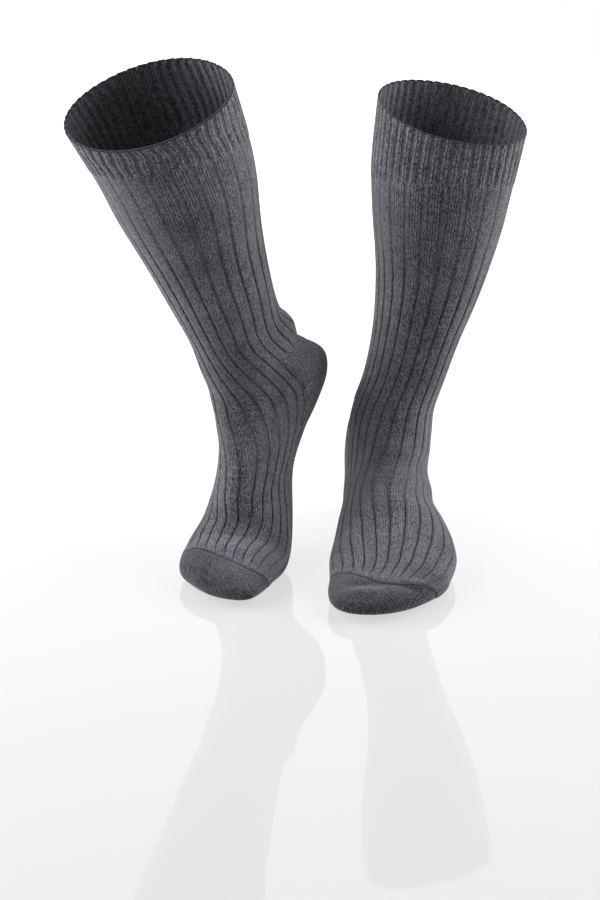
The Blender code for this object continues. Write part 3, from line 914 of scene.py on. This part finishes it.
class Graph:
    """The nodes of one material or world, made one by one."""

    def __init__(self, tree: bpy.types.NodeTree) -> None:
        """Empties the tree that the nodes go into."""
        self.tree = tree
        tree.nodes.clear()

    def node(self, kind: str, settings: dict[str, object], values: dict[object, object]) -> bpy.types.Node:
        """Makes a node.

        Args:
            kind: the node's type.
            settings: its options.
            values: what each input takes, by name or number: a signal, a number or a colour.

        Returns:
            The node.
        """
        node = self.tree.nodes.new(kind)
        for option, choice in settings.items():
            setattr(node, option, choice)
        for entry, value in values.items():
            if isinstance(value, Signal):
                self.tree.links.new(value.socket, node.inputs[entry])
            else:
                node.inputs[entry].default_value = value
        return node

    def signal(self, kind: str, output: str, settings: dict[str, object],
               values: dict[object, object]) -> Signal:
        """Makes a node and gives the signal of one of its outputs."""
        return Signal(self, self.node(kind, settings, values).outputs[output])

    def maths(self, operation: str, first: Signal | float, second: Signal | float = 0.0) -> Signal:
        """The result of a sum with one or two values."""
        return self.signal("ShaderNodeMath", "Value", {"operation": operation}, {0: first, 1: second})

    def wave(self, turns: Signal, low: float, high: float) -> Signal:
        """A wave between low and high, with its top at each whole number."""
        return self.maths("COSINE", turns * tau) * ((high - low) / 2) + (high + low) / 2

    def ramp(self, value: Signal, low: float, high: float) -> Signal:
        """A soft ramp from 0 at low to 1 at high."""
        values = {"Value": value, 1: low, 2: high, 3: 0.0, 4: 1.0}
        return self.signal("ShaderNodeMapRange", "Result", {"interpolation_type": "SMOOTHSTEP"}, values)

    def here(self) -> Signal:
        """The place on the object, in metres."""
        return self.signal("ShaderNodeTexCoord", "Object", {}, {})

    def mark(self, name: str) -> Signal:
        """One of the marks that the points of the knit carry."""
        return self.signal("ShaderNodeAttribute", "Fac", {"attribute_name": name}, {})

    def noise(self, place: Signal, scale: float, detail: float) -> Signal:
        """Soft noise from 0 to 1."""
        values = {"Vector": place, "Scale": scale, "Detail": detail, "Roughness": 0.6}
        return self.signal("ShaderNodeTexNoise", "Fac", {}, values)

    def patches(self, x: Signal, y: Signal) -> Signal:
        """A tone from 0 to 1 for each whole x and y, without order."""
        corner = self.vector(self.maths("FLOOR", x), self.maths("FLOOR", y))
        return self.signal("ShaderNodeTexWhiteNoise", "Value", {"noise_dimensions": "2D"}, {"Vector": corner})

    def vector(self, x: Signal | float, y: Signal | float, z: Signal | float = 0.0) -> Signal:
        """Three values as one vector."""
        return self.signal("ShaderNodeCombineXYZ", "Vector", {}, {0: x, 1: y, 2: z})

    def mixed(self, factor: Signal, first: object, second: object) -> Signal:
        """A mix of two colours."""
        node = self.node("ShaderNodeMix", {"data_type": "RGBA"}, {0: factor, 6: first, 7: second})
        return Signal(self, node.outputs[2])

    def scaled(self, colour: Signal, factor: Signal) -> Signal:
        """A colour made lighter or darker."""
        values = {0: colour, "Scale": factor}
        return self.signal("ShaderNodeVectorMath", "Vector", {"operation": "SCALE"}, values)

    def bump(self, height: Signal, strength: float, distance: float) -> Signal:
        """The normals of a surface that a height of 1 raises by a distance in metres."""
        values = {"Strength": strength, "Distance": distance, "Height": height}
        return self.signal("ShaderNodeBump", "Normal", {}, values)

    def surface(self, values: dict[object, object]) -> None:
        """Ends the material with a shader that takes these values."""
        shader = self.signal("ShaderNodeBsdfPrincipled", "BSDF", {}, values)
        self.node("ShaderNodeOutputMaterial", {}, {"Surface": shader})


def new_material(name: str) -> tuple[bpy.types.Material, Graph]:
    """Starts a material.

    Args:
        name: its name.

    Returns:
        The material and the graph that its nodes are made in.
    """
    material = bpy.data.materials.new(name)
    material.use_nodes = True
    return material, Graph(material.node_tree)


@dataclass(frozen=True)
class KnitFinish:
    """Mottled charcoal yarn, knitted in wales and courses and covered by a soft nap."""

    name: str
    dark: Colour = (0.012, 0.011, 0.0135, 1)
    light: Colour = (0.248, 0.234, 0.272, 1)
    tones: tuple[float, float] = (-0.15, 1.15)
    middle_tone: float = 0.36
    # How dark the groove mark makes the colour: painted shade in rib grooves and fold dents, painted
    # highlight on fold bumps, and the toe seam's dark line.
    painted_shade_and_seam_dark: float = 0.64
    # Painted shade in the gaps between knit wales, and where it starts and ends across a wale.
    painted_wale_gap_shade: float = 0.85
    line_edges: tuple[float, float] = (0.24, 0.47)
    stitch_depth: float = 0.5
    stitch_lean: float = 1.3
    stitch_wander: float = 0.6
    wander_scale: float = 260
    stitch_height: float = 0.7
    # Painted shade on the low yarn of each stitch and painted highlight on its top.
    painted_stitch_shade: float = 0.3
    stitch_tone: float = 0.3
    purl_height: float = 0.8
    fuzz_height: float = 0.6
    fuzz_scale: tuple[float, float] = (2.4, 2.7)
    fibre_scale: tuple[float, float] = (3.2, 0.8)
    specks_per_wale: int = 4
    fleck: float = 0.54
    cloud: float = 0.4
    cloud_scale: float = 38
    bump: float = 0.85
    roughness: float = 0.95
    nap: float = 0.28
    nap_roughness: float = 0.35
    nap_tint: Colour = (0.86, 0.88, 0.95, 1)

    def material(self) -> bpy.types.Material:
        """Makes the finish.

        Returns:
            The finished material.
        """
        material, graph = new_material(self.name)
        uv = graph.signal("ShaderNodeUVMap", "UV", {"uv_map": "knit"}, {})
        parts = graph.node("ShaderNodeSeparateXYZ", {}, {0: uv})
        wale = Signal(graph, parts.outputs[0]) * WALES
        course = Signal(graph, parts.outputs[1]) / (COURSE * MM)
        stitches = self.stitches(graph, wale, course)
        fuzz = graph.noise(graph.vector(wale * self.fuzz_scale[0], course * self.fuzz_scale[1], 1.5), 1.0, 3)
        height = stitches * self.stitch_height + fuzz * self.fuzz_height
        graph.surface({
            "Base Color": self.colour(graph, wale, course, stitches),
            "Normal": graph.bump(height, self.bump, self.stitch_depth * MM),
            "Roughness": self.roughness, "Specular IOR Level": 0.2,
            "Sheen Weight": self.nap, "Sheen Roughness": self.nap_roughness, "Sheen Tint": self.nap_tint,
        })
        return material

    def across(self, graph: Graph, wale: Signal) -> Signal:
        """How far it is from the middle of the wale: 0 there, and 0.5 between two wales."""
        return graph.maths("ABSOLUTE", graph.maths("FRACT", wale) - 0.5)

    def stitches(self, graph: Graph, wale: Signal, course: Signal) -> Signal:
        """How high the yarn of each stitch stands: arms in a V on knit wales, and arcs on purl ones.

        Args:
            graph: the material's graph.
            wale: wales counted round the sock.
            course: courses counted along it.

        Returns:
            The height, from 0 to 1.
        """
        across = self.across(graph, wale)
        course = course + (graph.noise(graph.here(), self.wander_scale, 2) - 0.5) * self.stitch_wander
        arms = graph.maths("SINE", across * tau)
        knit = arms * graph.wave(course + across * self.stitch_lean, 0.16, 1.0)
        purl = graph.wave(course, 0.1, 0.9) * graph.wave(wale, 0.4, 1.0) * self.purl_height
        return knit + (purl - knit) * graph.mark("purl")

    def colour(self, graph: Graph, wale: Signal, course: Signal, stitches: Signal) -> Signal:
        """The mottled colour: flecks of light and dark fibre, cloudy patches, the seam's dark line, and
        painted shade and highlight.

        Args:
            graph: the material's graph.
            wale: wales counted round the sock.
            course: courses counted along it.
            stitches: how high the yarn stands.

        Returns:
            The colour.
        """
        across = self.across(graph, wale)
        arm = graph.patches(wale * 2, course + across * self.stitch_lean) - 0.5
        fibre = graph.vector(wale * self.fibre_scale[0], course * self.fibre_scale[1])
        fibre = graph.noise(fibre, 1.0, 2) - 0.5
        speck = graph.patches(wale * self.specks_per_wale, course) - 0.5
        cloud = graph.noise(graph.here(), self.cloud_scale, 3) - 0.5
        tone = self.middle_tone + arm * self.stitch_tone + (fibre + speck) * self.fleck
        # Painted shade on the low yarn of each stitch and painted highlight where it stands high.
        tone = tone + cloud * self.cloud + (stitches - MIDDLE_STITCH) * self.painted_stitch_shade
        # Painted shade in the gaps between knit wales.
        line = graph.ramp(across, *self.line_edges) * graph.mark("line") * self.painted_wale_gap_shade
        # Painted shade and highlight from the groove mark with the seam's dark line, and painted shade
        # between wales.
        shade = (1 - graph.mark("groove") * self.painted_shade_and_seam_dark) * (1 - line)
        return graph.scaled(graph.mixed(graph.ramp(tone, *self.tones), self.dark, self.light), shade)


@dataclass(frozen=True)
class ThreadFinish:
    """The dark thread of edges and seams."""

    name: str
    colour: Colour = (0.016, 0.0155, 0.019, 1)
    light: Colour = (0.0384, 0.0372, 0.0456, 1)
    strand_scale: float = 900
    strand_depth: float = 0.2

    def material(self) -> bpy.types.Material:
        """Makes the finish.

        Returns:
            The finished material.
        """
        material, graph = new_material(self.name)
        strand = graph.noise(graph.here(), self.strand_scale, 2)
        graph.surface({
            "Base Color": graph.mixed(strand, self.colour, self.light),
            "Normal": graph.bump(strand, 0.6, self.strand_depth * MM), "Roughness": 0.9,
            "Specular IOR Level": 0.2, "Sheen Weight": 0.1, "Sheen Roughness": 0.4,
        })
        return material


class Finish(Enum):
    """The finishes of the pair."""

    CUFF = KnitFinish("cuff_knit", light=(0.27, 0.255, 0.296, 1), painted_shade_and_seam_dark=0.5)
    RIBBED = KnitFinish("ribbed_knit")
    PLAIN = KnitFinish("plain_knit", fleck=0.85, stitch_tone=0.4, nap=0.16)
    # The toe's colour is darker, partly for its denser plain knit and partly as painted shade for the lower
    # light on the toe.
    TOE = KnitFinish("toe_knit", light=(0.114, 0.108, 0.126, 1), painted_wale_gap_shade=0.6, painted_shade_and_seam_dark=0.8)
    THREAD = ThreadFinish("dark_thread")


@dataclass
class KnitGrid:
    """Rows and columns of points with the marks that the finish reads."""

    points: np.ndarray
    base: np.ndarray
    wales: np.ndarray
    along: np.ndarray
    # Painted shade of rib grooves and fold dents, painted highlight on fold bumps, and the toe seam's dark
    # line.
    groove: np.ndarray
    # Painted shade in the gaps between knit wales.
    line: np.ndarray
    purl: np.ndarray

    def width(self) -> float:
        """The longest row, in metres."""
        return float(gaps(self.base, 1).sum(axis=1).max() * MM)

    def length(self) -> float:
        """The mean length of a column, in metres."""
        return float(gaps(self.base, 0).sum(axis=0).mean() * MM)

    def area(self) -> float:
        """The area of the smooth sheet.

        Returns:
            Square metres.
        """
        down = np.diff(self.base, axis=0)[:, :-1]
        across = np.diff(self.base, axis=1)[:-1]
        return float(np.linalg.norm(np.cross(down, across), axis=-1).sum() * MM * MM)

    def mesh(self, name: str, form: SockForm) -> bpy.types.Mesh:
        """The grid as a mesh, with its UV map and marks.

        Args:
            name: the mesh's name.
            form: the form that the grid lies on.

        Returns:
            The mesh, in metres.
        """
        rows, columns = self.points.shape[:2]
        work = bmesh.new()
        work.loops.layers.uv.new("knit")
        bmesh.ops.create_grid(work, x_segments=columns - 1, y_segments=rows - 1, size=0.5)
        if form.pose.side is Side.LEFT:
            bmesh.ops.reverse_faces(work, faces=work.faces)
        mesh = mesh_of(work, name)
        points = self.points.copy()
        points[..., 2] = np.maximum(points[..., 2], FLOOR_CLEAR - form.origin[2])
        mesh.vertices.foreach_set("co", (points * MM).astype(np.float32).ravel())
        corners = np.empty(len(mesh.loops), np.int32)
        mesh.loops.foreach_get("vertex_index", corners)
        uv = np.stack((self.wales, self.along), axis=-1).reshape(-1, 2)[corners]
        mesh.uv_layers["knit"].data.foreach_set("uv", uv.astype(np.float32).ravel())
        # The groove and line marks carry painted shade and highlight to the finish, with the seam's dark
        # line.
        for mark, values in (("groove", self.groove), ("line", self.line), ("purl", self.purl)):
            layer = mesh.attributes.new(mark, "FLOAT", "POINT")
            layer.data.foreach_set("value", values.astype(np.float32).ravel())
        return mesh


@dataclass
class KnitPiece:
    """A piece of a sock: a sheet of knit laid round part of its form, with the thickness of its cloth."""

    knit: SockKnit
    materials: dict[Finish, bpy.types.Material]
    part: str = ""
    slot: str = "ribbed_knit"
    finish: Finish = Finish.RIBBED
    row_length: float = 2.4
    columns_per_wale: int = 2

    def rows(self, start: str, end: str, angles: tuple[float, ...]) -> np.ndarray:
        """Places for the rows of a grid.

        Args:
            start: the section that the grid starts at.
            end: the section that it ends at.
            angles: where its length is measured.

        Returns:
            Places from start to end, about row_length apart.
        """
        places = []
        for index in range(int(PLACE[start]), int(PLACE[end])):
            ends = np.repeat(np.linspace(index, index + 1, LENGTH_STEPS + 1)[:, None], len(angles), axis=1)
            path = self.knit.form.on_floor(ends, np.broadcast_to(np.array(angles, float), ends.shape))
            steps = max(1, round(gaps(path, 0).sum(axis=0).max() / self.row_length))
            places.extend(index + np.arange(steps) / steps)
        return np.array(places + [PLACE[end]])

    def grid(self, places: np.ndarray, first: float, last: float) -> KnitGrid:
        """Lays one grid of the piece.

        Args:
            places: the places of its rows.
            first: its first wale.
            last: its last wale.

        Returns:
            The grid with its points.
        """
        count = int(round((last - first) * self.columns_per_wale))
        rows, columns = np.meshgrid(places, np.linspace(first, last, count + 1), indexing="ij")
        laid = self.lay(columns, rows)
        # Painted shade in the dents of the folds and painted highlight on their bumps, laid into the groove
        # mark.
        painted_fold_shade = self.knit.painted_fold_shade(rows, laid.turns)
        with_painted_highlight = laid.groove + painted_fold_shade * (1 - laid.groove)
        groove = np.where(painted_fold_shade > 0, np.maximum(laid.groove, painted_fold_shade), with_painted_highlight)
        base, normals = self.knit.on_form(rows, laid.turns)
        start = self.knit.reach(places[0], laid.turns[0])
        along = np.vstack((np.zeros(count + 1), np.cumsum(gaps(base, 0) * MM, axis=0))) + start
        points = base + normals * laid.heights[..., None]
        return KnitGrid(points, base, columns / WALES, along, groove, laid.line, laid.purl)

    def lay(self, wales: np.ndarray, places: np.ndarray) -> Lay:
        """Lays the piece's wales."""
        return self.knit.lay(wales, places)

    def grids(self) -> list[KnitGrid]:
        """The grids that make up the piece."""
        raise NotImplementedError

    def build(self) -> bpy.types.Object:
        """Makes the piece, dresses it and puts it in the place of its solid.

        Returns:
            The finished object.
        """
        node = self.knit.form.pose.name + "_" + self.part
        grids = self.grids()
        work = bmesh.new()
        for grid in grids:
            mesh = grid.mesh(node, self.knit.form)
            work.from_mesh(mesh)
            bpy.data.meshes.remove(mesh)
        bmesh.ops.remove_doubles(work, verts=work.verts, dist=MERGE)
        for edge in work.edges:
            edge.smooth = not edge.is_boundary
        mesh = mesh_of(work, node + "_knit")
        mesh.shade_smooth()
        mesh.materials.append(self.materials[self.finish])
        piece = placed(node + "_knit", mesh)
        wall = piece.modifiers.new("wall", "SOLIDIFY")
        wall.thickness = WALL * MM
        wall.offset = -1
        mount(piece, node)
        width = max(grid.width() for grid in grids)
        length = sum(grid.length() for grid in grids)
        area = min(sum(grid.area() for grid in grids), width * length)
        LOG.info("%s: %.0f by %.0f mm, %.0f cm2", piece.name, width / MM, length / MM, area * 1e4)
        return piece


@dataclass
class Cuff(KnitPiece):
    """The cuff, in narrow ribs."""

    part: str = "cuff"
    slot: str = "cuff_knit"
    finish: Finish = Finish.CUFF
    row_length: float = 1.7

    def grids(self) -> list[KnitGrid]:
        """One tube from the rim to the leg."""
        return [self.grid(self.rows("rim", "cuff_base", (0, 90, 180, 270)), 0, WALES)]


@dataclass
class Leg(KnitPiece):
    """The leg, in wide ribs."""

    part: str = "leg"

    def grids(self) -> list[KnitGrid]:
        """One tube from the cuff to the ankle."""
        return [self.grid(self.rows("cuff_base", "ankle", (0, 90, 180, 270)), 0, WALES)]


@dataclass
class Heel(KnitPiece):
    """The plain pocket of the heel."""

    part: str = "heel"
    slot: str = "plain_knit"
    finish: Finish = Finish.PLAIN
    row_length: float = 1.7
    columns_per_wale: int = 1

    def grids(self) -> list[KnitGrid]:
        """One sheet round the back of the heel, from side to side."""
        return [self.grid(self.rows("ankle", "rear_arch", (120, 180, 240)), WALES / 4, WALES * 3 / 4)]


@dataclass
class Foot(KnitPiece):
    """The foot, in wide ribs on top and plain below."""

    part: str = "foot"

    def grids(self) -> list[KnitGrid]:
        """The instep before the heel, and the tube from there to the toe."""
        instep = self.grid(self.rows("ankle", "rear_arch", (0, 80, -80)), -WALES / 4, WALES / 4)
        return [instep, self.grid(self.rows("rear_arch", "toe_seam", (0, 90, 180)), 0, WALES)]


@dataclass
class Toe(KnitPiece):
    """The plain cap of the toe, whose wales run side by side over its tip and on under the foot."""

    part: str = "toe"
    slot: str = "plain_knit"
    finish: Finish = Finish.TOE
    row_length: float = 1.2
    wale_pitch: float = 2.3
    wale_lean: float = 0.45
    tip_reach: float = 1.6
    tip_turns: tuple[float, ...] = (18, 36, 54, 72, 90)

    def lay(self, wales: np.ndarray, places: np.ndarray) -> Lay:
        """Lays the toe's wales."""
        return self.knit.lay_toe(wales, places)

    def closed(self, points: np.ndarray) -> np.ndarray:
        """Rounds off the tip beyond the last row of points.

        Args:
            points: the rows of points up to the tip.

        Returns:
            The rows with those of the tip added, the last of them all in one place.
        """
        ring = points[-1]
        middle = ring.mean(axis=0)
        ahead = middle - points[-1 - len(self.tip_turns)].mean(axis=0)
        ahead = ahead / np.linalg.norm(ahead) * self.tip_reach
        turns = np.radians(self.tip_turns)
        rows = [middle + (ring - middle) * np.cos(turn) + ahead * np.sin(turn) for turn in turns]
        rows[-1] = np.broadcast_to(rows[-1][0], ring.shape)
        return np.concatenate((points, np.array(rows)))

    def grids(self) -> list[KnitGrid]:
        """Makes the tube from the seam on, with the rows that close it at the tip.

        Returns:
            The one grid.
        """
        places = self.rows("toe_seam", "toe_end", (0, 90, 180, 270))
        grid = self.grid(places, 0, WALES / 2)
        rows, turns = np.meshgrid(places, np.linspace(0, 360, grid.points.shape[1]), indexing="ij")
        moved = self.knit.moved(rows, turns)
        flat = self.closed(self.knit.form.in_foot(moved, self.knit.form.evened(moved, turns)))
        along = flat[..., 0] - flat[..., 2]
        grid.along = along * MM
        grid.wales = (flat[..., 1] + along * self.wale_lean) / self.wale_pitch / WALES
        grid.points, grid.base = self.closed(grid.points), self.closed(grid.base)
        for mark in ("groove", "line", "purl"):
            values = getattr(grid, mark)
            tip = np.repeat(values[-1:], len(self.tip_turns), axis=0)
            setattr(grid, mark, np.concatenate((values, tip)))
        return [grid]


@dataclass
class ThreadRing:
    """A ring of looped thread that follows a section: its loops and its sizes in millimetres."""

    knit: SockKnit
    materials: dict[Finish, bpy.types.Material]
    part: str = ""
    title: str = ""
    slot: str = ""
    section: str = ""
    radius: float = 0.0
    swell: float = 0.0
    depth: float = 0.0
    loops: int = 96
    round_steps: int = 8
    steps_per_loop: int = 6

    def build(self) -> bpy.types.Object:
        """Makes the ring and puts it on its sock.

        Returns:
            The finished object.
        """
        form = self.knit.form
        name = form.pose.name + "_" + self.title
        count = self.loops * self.steps_per_loop
        turns, angles = np.linspace(0, 2 * np.pi, self.round_steps + 1), np.linspace(0, 360, count + 1)
        bead = np.abs(np.sin(np.radians(angles) * self.loops / 2))
        turns, angles = np.meshgrid(turns, angles, indexing="ij")
        places = np.full(angles.shape, PLACE[self.section])
        angles = angles + self.knit.sway(places, angles)
        centre, out = self.knit.on_form(places, angles)
        down = self.knit.on_form(places + SLOPE_STEP, angles)[0] - centre
        down = down / np.linalg.norm(down, axis=-1, keepdims=True)
        centre = centre + out * self.depth
        lowest = FLOOR_CLEAR + self.radius + self.swell - form.origin[2]
        centre[..., 2] = np.maximum(centre[..., 2], lowest)
        radius = self.radius + self.swell * bead
        outwards, downwards = radius * np.cos(turns), radius * np.sin(turns)
        points = centre + out * outwards[..., None] + down * downwards[..., None]
        work = bmesh.new()
        bmesh.ops.create_grid(work, x_segments=count, y_segments=self.round_steps, size=0.5)
        for vertex, point in zip(work.verts, points.reshape(-1, 3)):
            vertex.co = Vector(point) * MM
        bmesh.ops.remove_doubles(work, verts=work.verts, dist=MERGE)
        bmesh.ops.recalc_face_normals(work, faces=work.faces)
        mesh = mesh_of(work, name)
        mesh.shade_smooth()
        mesh.materials.append(self.materials[Finish.THREAD])
        piece = placed(name, mesh)
        mount(piece, form.pose.name + "_" + self.part)
        LOG.info("%s: %d loops", name, self.loops)
        return piece


@dataclass
class CuffEdge(ThreadRing):
    """The looped edge of the rim, where the sock was cast on."""

    part: str = "cuff"
    title: str = "cuff_edge"
    slot: str = "cuff_knit"
    section: str = "rim"
    radius: float = 0.62
    swell: float = 0.3
    depth: float = -0.35


@dataclass
class ToeLinking(ThreadRing):
    """The linked seam between the foot and the toe."""

    part: str = "toe"
    title: str = "toe_linking"
    slot: str = "plain_knit"
    section: str = "toe_seam"
    radius: float = 0.3
    swell: float = 0.22
    depth: float = -0.3


@dataclass
class Sock:
    """One whole sock in its pose."""

    pose: Pose
    origin: Spot
    materials: dict[Finish, bpy.types.Material]

    def build(self) -> list[bpy.types.Object]:
        """Makes the sock's pieces from the rim down, and then its threads.

        Returns:
            The finished objects.
        """
        form = SockForm(self.pose)
        form.settle()
        form.origin = self.origin
        knit = SockKnit(form)
        kinds = (Cuff, Leg, Heel, Foot, Toe, CuffEdge, ToeLinking)
        return [kind(knit, self.materials).build() for kind in kinds]


@dataclass(frozen=True)
class SoftLight:
    """A soft square light: where it hangs, what it points at, the length of its side and its watts."""

    name: str
    place: Spot
    aim: Spot
    size: float
    power: float


LIGHTS = (
    SoftLight("left_light", (-1.2, 0.15, 0.35), (-0.1, 0.0, -0.12), 1.1, 30.0),
    SoftLight("right_light", (1.05, 0.25, 0.35), (-0.1, 0.0, -0.12), 1.1, 37.0),
    SoftLight("back_light", (-0.1, 1.9, 1.2), (-0.1, 0.6, -0.3), 1.8, 22.0),
    SoftLight("fill_light", (-1.0, -0.75, 0.5), (-0.28, -0.1, -0.1), 0.4, 6.0),
)


@dataclass
class Studio:
    """The pale floor, the soft lights and the camera, in metres."""

    floor_z: float
    floor_size: float = 240.0
    floor_colour: Colour = (0.12, 0.1185, 0.121, 1)
    floor_roughness: float = 0.04
    # The floor's painted glow: its strengths near and far, its tint, the point it is dimmest at, and its
    # reach.
    floor_glow: tuple[float, float] = (0.575, 0.955)
    glow_tint: tuple[float, float, float] = (1.0, 0.996, 1.004)
    glow_centre: tuple[float, float] = (-0.1, -0.9)
    glow_reach: tuple[float, float] = (0.3, 2.4)
    camera_place: Spot = (-0.1132, -1.0253, 0.0419)
    camera_tilt: float = 73.5
    lens: float = 53.64
    world_light: float = 0.5

    def build(self) -> None:
        """Makes the studio."""
        self.floor()
        self.world()
        for light in LIGHTS:
            self.light(light)
        self.camera()

    def floor(self) -> None:
        """Makes a wide smooth floor that mirrors the socks faintly and glows with painted light, dimmer near
        the camera.
        """
        work = bmesh.new()
        bmesh.ops.create_grid(work, x_segments=1, y_segments=1, size=self.floor_size / 2)
        bmesh.ops.translate(work, verts=work.verts, vec=(0, 0, self.floor_z))
        mesh = mesh_of(work, "floor")
        material, graph = new_material("floor_white")
        places = {0: graph.here(), 1: (*self.glow_centre, self.floor_z)}
        away = graph.signal("ShaderNodeVectorMath", "Value", {"operation": "DISTANCE"}, places)
        near, far = (tuple(glow * tint for tint in self.glow_tint) + (1,) for glow in self.floor_glow)
        graph.surface({
            "Base Color": self.floor_colour, "Roughness": self.floor_roughness, "IOR": 1.5,
            # Painted light: the floor glows, dimmer near the camera and brighter away from it, and lights the
            # socks from below.
            "Emission Color": graph.mixed(graph.ramp(away, *self.glow_reach), near, far),
            "Emission Strength": 1.0,
        })
        mesh.materials.append(material)
        placed("floor", mesh)

    def world(self) -> None:
        """Makes a white surround, bright where it is seen or mirrored and softer as a light."""
        world = bpy.data.worlds.new("surround")
        world.use_nodes = True
        bpy.context.scene.world = world
        graph = Graph(world.node_tree)
        rays = graph.node("ShaderNodeLightPath", {}, {})
        camera, glossy = (Signal(graph, rays.outputs[name]) for name in ("Is Camera Ray", "Is Glossy Ray"))
        strength = graph.maths("MAXIMUM", camera, glossy) * (1 - self.world_light) + self.world_light
        values = {"Color": (1, 1, 1, 1), "Strength": strength}
        shader = graph.signal("ShaderNodeBackground", "Background", {}, values)
        graph.node("ShaderNodeOutputWorld", {}, {"Surface": shader})

    def light(self, light: SoftLight) -> None:
        """Puts up a light.

        Args:
            light: what kind of light it is and where.
        """
        lamp = bpy.data.lights.new(light.name, "AREA")
        lamp.size = light.size
        lamp.energy = light.power
        thing = placed(light.name, lamp)
        thing.location = light.place
        thing.visible_camera = False
        thing.visible_glossy = False
        direction = Vector(light.aim) - Vector(light.place)
        thing.rotation_euler = direction.to_track_quat("-Z", "Y").to_euler()

    def camera(self) -> None:
        """Sets up the camera and the plain view of its picture."""
        lens = bpy.data.cameras.new("camera")
        lens.lens = self.lens
        thing = placed("camera", lens)
        thing.location = self.camera_place
        thing.rotation_euler = (radians(self.camera_tilt), 0, 0)
        bpy.context.scene.camera = thing
        bpy.context.scene.view_settings.view_transform = "Standard"


def sock_origin() -> Spot:
    """Finds the point that the frame starts from, the middle of the left sock's rim.

    Returns:
        The point, in millimetres over the floor.
    """
    form = SockForm(POSES[0])
    form.settle()
    return tuple(float(value) for value in form.rim_centre())


def main() -> None:
    """Builds the socks and the studio, and logs the sizes of the knit pieces."""
    logging.basicConfig(level=logging.INFO, format="%(message)s")
    materials = {finish: finish.value.material() for finish in Finish}
    origin = sock_origin()
    for pose in POSES:
        for piece in Sock(pose, origin, materials).build():
            LOG.info("made %s", piece.name)
    Studio(-origin[2] * MM).build()


if __name__ == "__main__":
    main()
